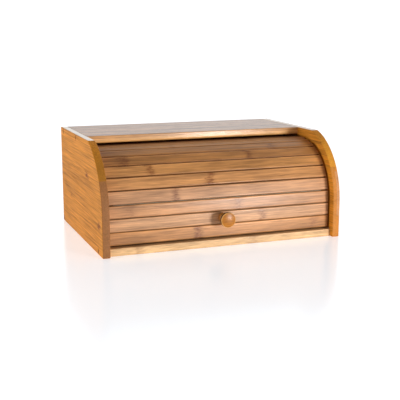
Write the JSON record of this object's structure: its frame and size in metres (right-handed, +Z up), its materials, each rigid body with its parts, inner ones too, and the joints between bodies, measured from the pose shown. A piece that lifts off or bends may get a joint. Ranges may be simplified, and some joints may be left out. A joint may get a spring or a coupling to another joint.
{
  "type": "roll-top bread box",
  "caption": "Bamboo bread box with rounded side panels and a slatted roll top that slides up and back in side grooves.",
  "frame": {"origin": "centre of the cabinet's footprint, on the table", "axes": "+X to the right along the slats, +Y to the back, +Z up"},
  "size_m": [0.4, 0.293, 0.168],
  "materials": {
    "side_left": "satin lacquer",
    "side_right": "satin lacquer",
    "top": "satin lacquer",
    "bottom": "satin lacquer",
    "back": "satin lacquer",
    "slat": "satin lacquer",
    "cloth": "woven cotton",
    "knob": "satin lacquer",
    "screw": "zinc plated",
    "staple": "dull wire"
  },
  "bodies": {
    "cabinet": {"side_panel_left": "side_left", "side_panel_right": "side_right", "top_panel": "top", "bottom_panel": "bottom", "back_panel": "back", "staples_left": "staple", "staples_right": "staple"},
    "curtain_rear": {"slat_10": "slat", "slat_11": "slat", "cloth_10": "cloth", "cloth_11": "cloth"},
    "curtain_09": {"slat_09": "slat", "cloth_09": "cloth"},
    "curtain_08": {"slat_08": "slat", "cloth_08": "cloth"},
    "curtain_07": {"slat_07": "slat", "cloth_07": "cloth"},
    "curtain_06": {"slat_06": "slat", "cloth_06": "cloth"},
    "curtain_05": {"slat_05": "slat", "cloth_05": "cloth"},
    "curtain_04": {"slat_04": "slat", "cloth_04": "cloth"},
    "curtain_03": {"slat_03": "slat", "cloth_03": "cloth"},
    "curtain_02": {"slat_02": "slat", "cloth_02": "cloth", "knob": "knob", "knob_screw": "screw"},
    "curtain_01": {"slat_01": "slat", "cloth_01": "cloth"}
  },
  "joints": [
    {"name": "door_travel", "type": "slide", "parent": "cabinet", "child": "curtain_rear", "axis": [0, 1, 0], "range_m": [0, 0.12]},
    {"name": "flex_09", "type": "hinge", "parent": "curtain_rear", "child": "curtain_09", "pos_m": [0, -0.03234, 0.147], "axis": [-1, 0, 0], "range_deg": [0, 5.42]},
    {"name": "flex_08", "type": "hinge", "parent": "curtain_09", "child": "curtain_08", "pos_m": [0, -0.05275, 0.14506], "axis": [-1, 0, 0], "range_deg": [0, 13.47]},
    {"name": "flex_07", "type": "hinge", "parent": "curtain_08", "child": "curtain_07", "pos_m": [0, -0.07214, 0.13844], "axis": [-1, 0, 0], "range_deg": [0, 13.54]},
    {"name": "flex_06", "type": "hinge", "parent": "curtain_07", "child": "curtain_06", "pos_m": [0, -0.08945, 0.12745], "axis": [-1, 0, 0], "range_deg": [0, 13.54]},
    {"name": "flex_05", "type": "hinge", "parent": "curtain_06", "child": "curtain_05", "pos_m": [0, -0.10371, 0.11272], "axis": [-1, 0, 0], "range_deg": [0, 13.54]},
    {"name": "flex_04", "type": "hinge", "parent": "curtain_05", "child": "curtain_04", "pos_m": [0, -0.11412, 0.09506], "axis": [-1, 0, 0], "range_deg": [0, 13.53]},
    {"name": "flex_03", "type": "hinge", "parent": "curtain_04", "child": "curtain_03", "pos_m": [0, -0.12012, 0.07545], "axis": [-1, 0, 0], "range_deg": [0, 5.83]},
    {"name": "flex_02", "type": "hinge", "parent": "curtain_03", "child": "curtain_02", "pos_m": [0, -0.1215, 0.055], "axis": [1, 0, 0], "range_deg": [0, 9.67]},
    {"name": "flex_01", "type": "hinge", "parent": "curtain_02", "child": "curtain_01", "pos_m": [0, -0.1215, 0.0345], "axis": [1, 0, 0], "range_deg": [0, 13.54]}
  ],
  "couplings": [
    {"joint": "flex_09", "follows": "door_travel", "rad_per_m": 0.78755},
    {"joint": "flex_08", "follows": "door_travel", "rad_per_m": 1.9572},
    {"joint": "flex_07", "follows": "door_travel", "rad_per_m": 1.9682},
    {"joint": "flex_06", "follows": "door_travel", "rad_per_m": 1.9682},
    {"joint": "flex_05", "follows": "door_travel", "rad_per_m": 1.9682},
    {"joint": "flex_04", "follows": "door_travel", "rad_per_m": 1.9666},
    {"joint": "flex_03", "follows": "door_travel", "rad_per_m": 0.84667},
    {"joint": "flex_02", "follows": "door_travel", "rad_per_m": 1.4053},
    {"joint": "flex_01", "follows": "door_travel", "rad_per_m": 1.9682}
  ]
}
